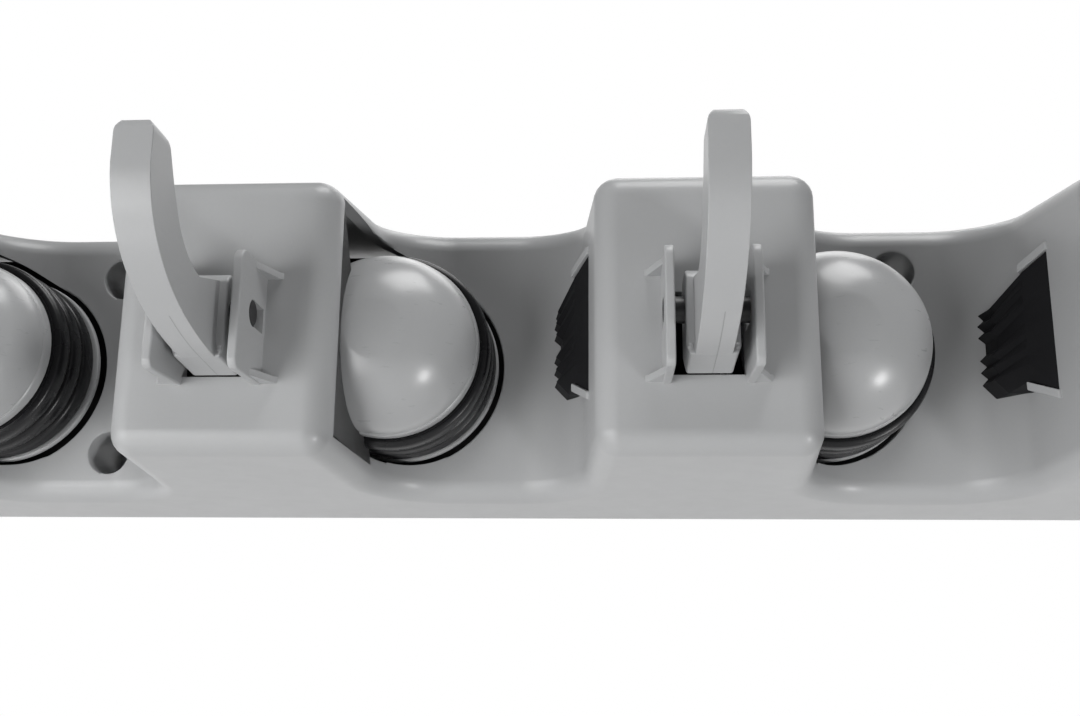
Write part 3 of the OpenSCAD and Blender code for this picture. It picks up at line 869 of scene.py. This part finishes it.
def build_caps(context):
    """The domed caps: a shallow dome with a flat middle and a straight rim."""
    wheel = context.scene.rack_wheel
    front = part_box("wheel_cap_1")[0][1]
    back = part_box("wheel_cap_1")[1][1]
    tall = back - wheel.cap_rim - front
    start = math.asin(wheel.cap_flat / wheel.cap)
    dome = []
    for step in range(DOME_STEPS + 1):
        a = start + (math.pi / 2 - start) * step / DOME_STEPS
        dome.append(((wheel.cap - 0.3 * MM) * math.sin(a),
                     front + tall * (1 - math.cos(a) / math.cos(start))))
    inner, pole = wheel.cap - CAP_WALL, 0.02 * MM
    hollow = [(inner * math.sin(a), back - wheel.cap_rim - (tall - CAP_WALL) * math.cos(a))
              for a in (math.pi / 2 * k / HOLLOW_STEPS for k in range(HOLLOW_STEPS, 0, -1))]
    cap = turn_profile(
        [(pole, front)] + dome
        + [(wheel.cap - 0.1 * MM, front + tall + 0.15 * MM), (wheel.cap, front + tall + 0.5 * MM),
           (wheel.cap, back - 0.3 * MM), (wheel.cap - 0.3 * MM, back), (inner, back)]
        + hollow + [(pole, front + CAP_WALL)], (WHEEL.x, 0, WHEEL.z), WHEEL_STEPS)
    smooth(cap, 40)
    for count, copy in enumerate(along_row(cap, SLOTS), 1):
        settle(copy, f"wheel_dome_{count}", finish("cap"), f"wheel_{count}", "cap_plastic",
               f"wheel_cap_{count}")


def build_tyres(context):
    """The ribbed tyres: three round-shouldered ridges with two deep grooves."""
    wheel = context.scene.rack_wheel
    low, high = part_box("tyre_1")
    front, width = low[1], high[1] - low[1]
    land = width / RIDGES
    profile = []
    for ridge in range(RIDGES):
        start = front + ridge * land
        for step in range(RIDGE_STEPS + 1):
            a = math.pi * step / RIDGE_STEPS
            fall = 0 if step == RIDGE_STEPS // 2 else 1 - math.sin(a) ** RIDGE_ROUNDING
            profile.append((wheel.tyre - wheel.groove * fall,
                            start + land * (0.5 - RIDGE_HALF * math.cos(a))))
    tyre = turn_profile([(TYRE_BORE, front), (wheel.tyre - wheel.groove, front)] + profile
                        + [(wheel.tyre - wheel.groove, front + width), (TYRE_BORE, front + width)],
                        (WHEEL.x, 0, WHEEL.z), WHEEL_STEPS)
    smooth(tyre, 50)
    for count, copy in enumerate(along_row(tyre, SLOTS), 1):
        settle(copy, f"ribbed_tyre_{count}", finish("tyre"), f"wheel_{count}", "tyre_rubber", f"tyre_{count}")


def build_hubs(context):
    """The hubs: a drum with a rounded rear flange."""
    wheel = context.scene.rack_wheel
    low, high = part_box("wheel_hub_1")
    tyre_low, tyre_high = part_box("tyre_1")
    flange = tyre_high[1] + 0.1 * MM
    back = flange + FLANGE_THICKNESS
    start = low[1]
    seat = tyre_low[1] - 0.05 * MM
    chamfer, round_over, knee = 0.3 * MM, 0.5 * MM, 0.15 * MM
    hub = turn_profile([
        (8.5 * MM, start), (HUB_SPIGOT - chamfer, start), (HUB_SPIGOT, start + chamfer), (HUB_SPIGOT, seat),
        (HUB_DRUM, seat), (HUB_DRUM, flange), (wheel.flange - round_over, flange),
        (wheel.flange - knee, flange + knee), (wheel.flange, flange + round_over),
        (wheel.flange, back - round_over), (wheel.flange - knee, back - knee),
        (wheel.flange - round_over, back), (7.4 * MM, back), (6.2 * MM, back + 0.8 * MM),
        (6 * MM, high[1] - chamfer), (6 * MM - chamfer, high[1]), (HUB_BORE, high[1]),
        (HUB_BORE, start + 4.6 * MM), (HUB_POCKET, start + 4.6 * MM), (HUB_POCKET, start + 1.9 * MM)],
        (WHEEL.x, 0, WHEEL.z), WHEEL_STEPS)
    smooth(hub, 40)
    for count, copy in enumerate(along_row(hub, SLOTS), 1):
        settle(copy, f"flanged_hub_{count}", finish("cap"), f"wheel_{count}", "hub_plastic",
               f"wheel_hub_{count}")


# Grip pads

# Each level of a pad in mm, and its depth behind the teeth's tips as a share of the tooth
TEETH = ((-7.9, 2.0), (-5.5, 0.1), (-4.35, 1.0), (-3.25, 0.0), (-2.15, 1.0), (-1.1, 0.0), (0.0, 1.0),
         (2.0, 1.0), (3.05, 0.0), (4.1, 1.0), (5.15, 0.0), (6.2, 1.0), (7.2, 0.2))
WALL_STEPS = 6
CREST_BOTTOM = -7.1 * MM
CREST_TOP = 11.3 * MM
LIP_LENGTH = 9 * MM
LIP_THICKNESS = 1.4 * MM
LIP_FALL = -2.2 * MM
LIP_RISE = 2.6 * MM


def flank(shell, pad, share):
    """A point of the pad's flank, from its front edge (0) to its crest (1)."""
    x = BLOCK_X[1]
    edge = (x - side_at(shell, pad.front_q), pad.front_q - shell.depth)
    crest = (x - pad.crest, pad.crest_q - shell.depth)
    return tuple(edge[k] + (crest[k] - edge[k]) * share for k in (0, 1))


def build_pads(context):
    """The grip pads: rubber wedges with a toothed crest, drawn up in layers, and taller at the front."""
    shell, pad = context.scene.rack_shell, context.scene.rack_pad
    x = BLOCK_X[1]

    def wall_point(depth, off=0.0):
        return (x - side_at(shell, depth) + off, depth - shell.depth)

    crest = flank(shell, pad, 1)
    steps = [pad.back_q - (pad.back_q - pad.front_q) * k / WALL_STEPS for k in range(WALL_STEPS + 1)]
    plan = [flank(shell, pad, 0.42), (crest[0], crest[1] - 0.5 * MM), (crest[0], crest[1] + 0.4 * MM)]
    plan += [wall_point(depth, -0.05 * MM if 0 < k < WALL_STEPS else 0.0) for k, depth in enumerate(steps)]
    low, high = TEETH[0][0] * MM, TEETH[-1][0] * MM
    z, tip = low, crest[0]
    piece = draw_face([(px, py, z) for px, py in plan])
    for count, (level, inset) in enumerate(TEETH):
        if count:
            pull((0, 0, level * MM - z))
            z = level * MM
        pick("verts", lambda v: abs(v.co.z - z) < TINY and v.co.x < tip + TINY)
        bpy.ops.transform.translate(value=(crest[0] + inset * pad.tooth - tip, 0, 0))
        tip = crest[0] + inset * pad.tooth
        pick("verts", lambda v: abs(v.co.z - z) < TINY)
    face_outwards()
    columns = [(plan[0], CREST_BOTTOM, CREST_TOP)]
    for spot, depth in zip(plan[3:], steps):
        share = (pad.crest_q - depth) / (pad.crest_q - pad.front_q)
        if share > 0:
            columns.append((spot, low + (pad.bottom - low) * share, high + (pad.top - high) * share))
    for spot, bottom, top in columns:
        grow = (top - bottom) / (high - low)
        pick("verts", lambda v: (v.co.xy - Vector(spot)).length < 0.01 * MM)
        still = (bottom - grow * low) / (1 - grow)
        bpy.ops.transform.resize(value=(1, 1, grow), center_override=(*spot, still))
    pick("faces", lambda f: abs(f.normal.z) > 0.5)
    bpy.ops.mesh.quads_convert_to_tris()
    soften(piece, 0.12 * MM, 2, 25)
    smooth(piece, 28)
    for count, copy in enumerate(along_row(piece, SLOTS), 1):
        settle(copy, f"toothed_pad_{count}", finish("pad"), RACK, "pad_rubber", f"grip_pad_{count}")


def build_lips(context):
    """The small lips on the shell that follow the pad's top and bottom from its front edge."""
    shell, pad = context.scene.rack_shell, context.scene.rack_pad
    x = BLOCK_X[1]
    near, far = pad.front_q - 0.4 * MM, pad.front_q + LIP_LENGTH
    out = Vector((*flank(shell, pad, 0.45), 0)) + Vector((-0.4, -0.3, 0)) * MM
    parts = []
    for z, slant, rise in ((pad.top, LIP_FALL, 1), (pad.bottom, LIP_RISE, -1)):
        z += rise * 0.1 * MM
        lip = draw_face([(x - side_at(shell, near) + MM, near - shell.depth, z),
                         (x - side_at(shell, near) - 0.4 * MM, near - shell.depth, z),
                         out + Vector((0, 0, z)),
                         (x - side_at(shell, far) + MM, far - shell.depth, z)])
        pull((0, 0, rise * LIP_THICKNESS))
        face_outwards()
        pick("verts", lambda v: v.co.y > near - shell.depth + MM)
        bpy.ops.transform.translate(value=(0, 0, slant))
        soften(lip, 0.2 * MM, 2)
        parts.append(lip)
    pair = join(parts)
    smooth(pair)
    for count, copy in enumerate(along_row(pair, SLOTS), 1):
        settle(copy, f"pad_lips_{count}", finish("shell"), RACK, "shell_plastic")


# CAD nodes that are shown as they are

def finish_nodes(context):
    """Give the pieces behind the shell their finishes."""
    # The guide plates' black finish is partly painted shade, making the gaps round the wheels dark.
    wanted = {"guide_plate": "guide", "axle_clip": "clip", "axle": "axle", "guide_screws": "screw"}
    for name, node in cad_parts.items():
        kind = name if name in wanted else name.rsplit("_", 1)[0]
        if kind in wanted:
            node.data.materials.clear()
            node.data.materials.append(finish(wanted[kind]))
            take(node)
            bpy.ops.object.shade_smooth_by_angle(angle=math.radians(30))


# Stage, lights and camera

FLOOR_LEVEL = -0.9
FLOOR_SIZE = 4
BACKDROP_HEIGHT = 3
PAPER_SHARE = 0.8
WORLD_STRENGTH = 0.10
CAMERA_PLACE = (0.02271, -0.22379, -0.04822)
CAMERA_LENS = 38.50


def stage_material(colours):
    """Paper that shows plain white to the camera, and lights the object as pale paper does."""
    made = Finish("stage_paper")
    path = made.node("ShaderNodeLightPath")
    seen = (Value(made, path.outputs["Is Camera Ray"]) + Value(made, path.outputs["Is Glossy Ray"])
            + Value(made, path.outputs["Is Transmission Ray"]))
    paper = made.node("ShaderNodeBsdfDiffuse", {}, {"Color": shade(colours.backdrop, PAPER_SHARE)})
    glow = made.node("ShaderNodeEmission", {}, {"Color": shade(colours.backdrop, 1), "Strength": 1.0})
    mixed = made.node("ShaderNodeMixShader", {}, {0: seen})
    made.feed(mixed.inputs[1], paper.outputs[0])
    made.feed(mixed.inputs[2], glow.outputs[0])
    made.node("ShaderNodeOutputMaterial", {}, {"Surface": mixed.outputs[0]})
    return made.material


def add_softbox(name, place, aim, size, energy):
    leave_all()
    place, aim = Vector(place), Vector(aim)
    turn = (aim - place).to_track_quat("-Z", "Y").to_euler()
    bpy.ops.object.light_add(type="AREA", location=place, rotation=turn)
    lamp = bpy.context.object
    lamp.name = name
    lamp.data.shape = "RECTANGLE"
    lamp.data.size, lamp.data.size_y = size
    lamp.data.energy = energy


def build_stage(context):
    """A pale floor and backdrop, soft lamps, an even world and the photograph's camera."""
    scene = context.scene
    colours = scene.rack_colours
    scene.view_settings.view_transform = "Standard"
    paper = stage_material(colours)
    leave_all()
    bpy.ops.mesh.primitive_plane_add(size=FLOOR_SIZE, location=(0, 0, FLOOR_LEVEL))
    floor = bpy.context.object
    open_mesh("EDGE")
    pick("edges", lambda e: all(v.co.y > 1.9 for v in e.verts))
    pull((0, 0, BACKDROP_HEIGHT))
    bpy.ops.object.mode_set(mode="OBJECT")
    floor.name = "studio_floor"
    floor.data.materials.append(paper)

    world = bpy.data.worlds.new("studio_world")
    scene.world = world
    world.use_nodes = True
    world.node_tree.nodes["Background"].inputs["Color"].default_value = (1, 1, 1, 1)
    world.node_tree.nodes["Background"].inputs["Strength"].default_value = WORLD_STRENGTH

    aim = (0, -0.03, 0)
    add_softbox("key_softbox", (-0.45, -0.62, -0.22), aim, (0.40, 0.40), 3.1)
    add_softbox("left_softbox", (-0.55, -0.30, -0.10), aim, (0.30, 0.30), 1.2)
    add_softbox("low_softbox", (-0.55, -0.55, -0.80), aim, (0.25, 0.25), 1.0)
    add_softbox("right_softbox", (0.75, -0.50, -0.62), aim, (0.20, 0.20), 3.5)
    add_softbox("top_softbox", (0.25, -0.25, 1.15), aim, (0.8, 0.6), 11.0)
    add_softbox("back_softbox", (0.2, 0.8, 1.1), aim, (0.8, 0.5), 3.0)

    leave_all()
    yaw, pitch, roll = math.radians(3.56), math.radians(13.37), math.radians(0.53)
    ahead = Vector((-math.sin(yaw) * math.cos(pitch), math.cos(yaw) * math.cos(pitch), math.sin(pitch)))
    right = ahead.cross(Vector((0, 0, 1))).normalized()
    up = right.cross(ahead)
    right, up = right * math.cos(roll) + up * math.sin(roll), up * math.cos(roll) - right * math.sin(roll)
    turn = Matrix((right, up, -ahead)).transposed().to_euler()
    bpy.ops.object.camera_add(location=CAMERA_PLACE, rotation=turn)
    camera = bpy.context.object
    camera.name = "photo_camera"
    camera.data.lens = CAMERA_LENS
    camera.data.sensor_width = 36
    camera.data.clip_start = 0.01
    scene.camera = camera


# The add-on

class RACK_OT_stage(bpy.types.Operator):
    """Set up the floor, the lamps and the photograph's camera"""
    bl_idname = "rack.stage"
    bl_label = "Stage"

    def execute(self, context):
        build_stage(context)
        return {"FINISHED"}


class RACK_OT_shell(bpy.types.Operator):
    """Model the wavy shell with its windows and slots"""
    bl_idname = "rack.shell"
    bl_label = "Shell"

    def execute(self, context):
        build_shell(context)
        return {"FINISHED"}


class RACK_OT_posts(bpy.types.Operator):
    """Model the screw wells and the screw bosses behind the shell"""
    bl_idname = "rack.posts"
    bl_label = "Wells and bosses"

    def execute(self, context):
        build_posts(context)
        return {"FINISHED"}


class RACK_OT_cheeks(bpy.types.Operator):
    """Model the cheeks that carry the hooks"""
    bl_idname = "rack.cheeks"
    bl_label = "Cheeks"

    def execute(self, context):
        build_cheeks(context)
        return {"FINISHED"}


class RACK_OT_hooks(bpy.types.Operator):
    """Model the fold-up hooks"""
    bl_idname = "rack.hooks"
    bl_label = "Hooks"

    def execute(self, context):
        build_hooks(context)
        return {"FINISHED"}


class RACK_OT_pins(bpy.types.Operator):
    """Model the hooks' pins"""
    bl_idname = "rack.pins"
    bl_label = "Hook pins"

    def execute(self, context):
        build_pins(context)
        return {"FINISHED"}


class RACK_OT_caps(bpy.types.Operator):
    """Model the wheels' domed caps"""
    bl_idname = "rack.caps"
    bl_label = "Wheel caps"

    def execute(self, context):
        build_caps(context)
        return {"FINISHED"}


class RACK_OT_tyres(bpy.types.Operator):
    """Model the ribbed tyres"""
    bl_idname = "rack.tyres"
    bl_label = "Tyres"

    def execute(self, context):
        build_tyres(context)
        return {"FINISHED"}


class RACK_OT_hubs(bpy.types.Operator):
    """Model the flanged hubs"""
    bl_idname = "rack.hubs"
    bl_label = "Hubs"

    def execute(self, context):
        build_hubs(context)
        return {"FINISHED"}


class RACK_OT_pads(bpy.types.Operator):
    """Model the toothed grip pads"""
    bl_idname = "rack.pads"
    bl_label = "Grip pads"

    def execute(self, context):
        build_pads(context)
        return {"FINISHED"}


class RACK_OT_lips(bpy.types.Operator):
    """Model the lips above and below the pads"""
    bl_idname = "rack.lips"
    bl_label = "Pad lips"

    def execute(self, context):
        build_lips(context)
        return {"FINISHED"}


class RACK_OT_fittings(bpy.types.Operator):
    """Give the plates, axles, clips and screws behind the shell their finishes"""
    bl_idname = "rack.fittings"
    bl_label = "Fittings"

    def execute(self, context):
        finish_nodes(context)
        return {"FINISHED"}


OPERATORS = (RACK_OT_stage, RACK_OT_shell, RACK_OT_posts, RACK_OT_cheeks, RACK_OT_hooks, RACK_OT_pins,
             RACK_OT_caps, RACK_OT_tyres, RACK_OT_hubs, RACK_OT_pads, RACK_OT_lips, RACK_OT_fittings)
GROUPS = {"rack_shell": ShellSizes, "rack_wheel": WheelSizes, "rack_hook": HookSizes,
          "rack_pad": PadSizes, "rack_colours": Colours}


class RACK_PT_panel(bpy.types.Panel):
    """Sizes, colours and pieces of the rack"""
    bl_idname = "RACK_PT_panel"
    bl_label = "Tool holder rack"
    bl_space_type = "VIEW_3D"
    bl_region_type = "UI"
    bl_category = "Rack"

    def draw(self, context):
        for name, group in GROUPS.items():
            box = self.layout.box()
            box.label(text=name.replace("_", " ").capitalize())
            for size in group.__annotations__:
                box.prop(getattr(context.scene, name), size)
        for made in OPERATORS:
            self.layout.operator(made.bl_idname)


CLASSES = (*GROUPS.values(), *OPERATORS, RACK_PT_panel)


def register():
    for made in CLASSES:
        bpy.utils.register_class(made)
    for name, group in GROUPS.items():
        setattr(bpy.types.Scene, name, PointerProperty(type=group))


def unregister():
    for name in GROUPS:
        delattr(bpy.types.Scene, name)
    for made in reversed(CLASSES):
        bpy.utils.unregister_class(made)


def main():
    register()
    bpy.ops.rack.stage()
    bpy.ops.rack.shell()
    bpy.ops.rack.posts()
    bpy.ops.rack.cheeks()
    bpy.ops.rack.hooks()
    bpy.ops.rack.pins()
    bpy.ops.rack.caps()
    bpy.ops.rack.tyres()
    bpy.ops.rack.hubs()
    bpy.ops.rack.pads()
    bpy.ops.rack.lips()
    bpy.ops.rack.fittings()
    leave_all()


if __name__ == "__main__":
    main()
